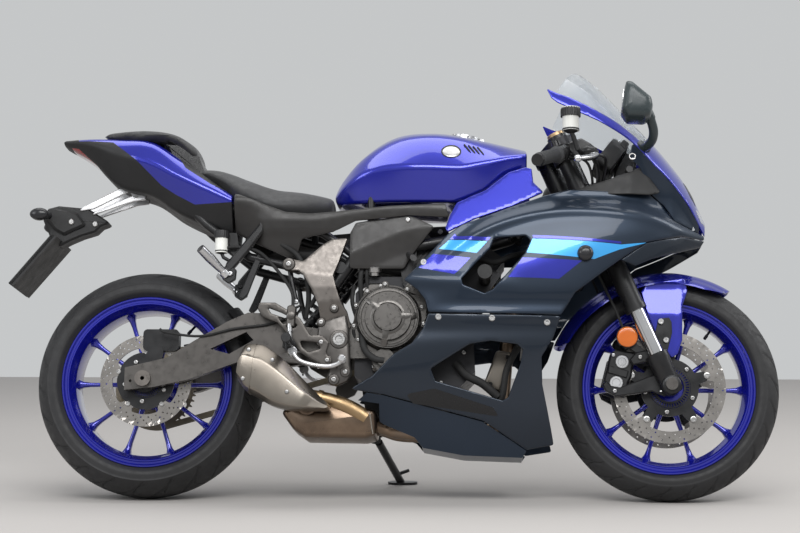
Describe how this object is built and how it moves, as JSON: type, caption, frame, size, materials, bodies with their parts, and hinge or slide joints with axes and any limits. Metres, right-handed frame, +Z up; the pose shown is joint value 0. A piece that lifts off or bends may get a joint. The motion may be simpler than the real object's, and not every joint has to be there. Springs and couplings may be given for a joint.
{
  "type": "sport motorcycle",
  "caption": "Fully faired sport motorcycle parked on its side stand, with low clip-on bars, a chain-driven rear wheel and a high pointed tail.",
  "frame": {"origin": "on the floor under the middle of the parked machine's bounding box", "axes": "+X forward, +Y to the machine's left, towards its side stand, +Z up from the floor; the machine leans 12 degrees towards +Y"},
  "size_m": [2.074, 0.73, 1.1456],
  "materials": {
    "tyre": "matt",
    "body_blue": "metallic gloss",
    "fairing_grey_blue": "metallic gloss",
    "wheel_blue": "painted gloss",
    "black_plastic": "grained matt",
    "seat_cover": "grained",
    "screen": "clear smoked",
    "engine_alloy": "painted satin",
    "bronze_alloy": "anodised satin",
    "bare_alloy": "machined",
    "black_steel": "satin",
    "disc_steel": "brushed",
    "exhaust_steel": "brushed, heat tinted",
    "chain_steel": "oiled",
    "chrome_steel": "polished",
    "rubber": "matt",
    "red_lens": "clear lens",
    "amber_lens": "clear lens",
    "lamp_lens": "clear lens",
    "clear_cup": "translucent",
    "tank_plastic": "metallic gloss"
  },
  "bodies": {
    "chassis": {"chain": "chain_steel", "fuel_tank": "tank_plastic", "rider_seat": "seat_cover", "pillion_seat": "seat_cover", "upper_fairings": "fairing_grey_blue", "lower_fairings": "fairing_grey_blue", "belly_pan": "black_plastic", "windscreen": "screen", "nose_cowl": "body_blue", "engine": "engine_alloy", "engine_covers": "engine_alloy", "exhaust_pipes": "exhaust_steel", "muffler": "exhaust_steel", "rear_axle": "bare_alloy", "swingarm": "bronze_alloy", "rear_brake": "black_steel", "main_frame": "black_steel", "seat_frame": "black_steel", "nose_stay": "black_steel", "tail_cowl": "body_blue", "tail_lamp": "red_lens", "undertail": "black_plastic", "pivot_brackets": "bronze_alloy", "footrests": "bare_alloy", "foot_controls": "bare_alloy", "side_covers": "black_plastic", "tank_side_panels": "body_blue", "rear_shock": "black_steel", "plate_holder": "black_plastic", "rear_hugger": "black_plastic", "indicators": "amber_lens", "radiator": "engine_alloy", "frame_sliders": "black_plastic", "instrument": "black_plastic", "nose_panels": "black_plastic", "headlamp": "lamp_lens", "mirrors": "black_plastic", "rear_reservoir": "clear_cup", "stand_bracket": "black_steel"},
    "steering": {"fork_tubes": "black_steel", "fork_legs": "chrome_steel", "front_axle": "bare_alloy", "yokes": "engine_alloy", "handlebars": "black_steel", "grips": "rubber", "switch_housings": "black_plastic", "hand_levers": "bare_alloy", "front_reservoir": "clear_cup", "front_fender": "body_blue", "front_calipers": "black_steel", "brake_hoses": "rubber"},
    "front_wheel": {"front_tyre": "tyre", "front_rim": "wheel_blue", "front_discs": "disc_steel"},
    "rear_wheel": {"rear_tyre": "tyre", "rear_rim": "wheel_blue", "rear_disc": "disc_steel", "rear_sprocket": "chain_steel"},
    "side_stand": {"side_stand": "black_steel"},
    "fuel_cap": {"fuel_cap": "bare_alloy"}
  },
  "joints": [
    {"name": "steering_turn", "type": "hinge", "parent": "chassis", "child": "steering", "pos_m": [0.50014, -0.03343, 0.7375], "axis": [-0.4015, 0.1904, 0.8959], "range_deg": [-27, 27]},
    {"name": "front_wheel_spin", "type": "hinge", "parent": "steering", "child": "front_wheel", "pos_m": [0.74, -0.12814, 0.29192], "axis": [0, 0.9781, -0.2079], "continuous": true},
    {"name": "rear_wheel_spin", "type": "hinge", "parent": "chassis", "child": "rear_wheel", "pos_m": [-0.655, -0.12603, 0.30187], "axis": [0, 0.9781, -0.2079], "continuous": true},
    {"name": "side_stand_fold", "type": "hinge", "parent": "chassis", "child": "side_stand", "pos_m": [-0.05, -0.04813, 0.15854], "axis": [0, 0.6204, 0.7843], "range_deg": [0, 95]},
    {"name": "fuel_cap_lid", "type": "hinge", "parent": "chassis", "child": "fuel_cap", "pos_m": [0.24182, 0.01544, 0.96744], "axis": [0, 0.9781, -0.2079], "range_deg": [0, 95]}
  ]
}
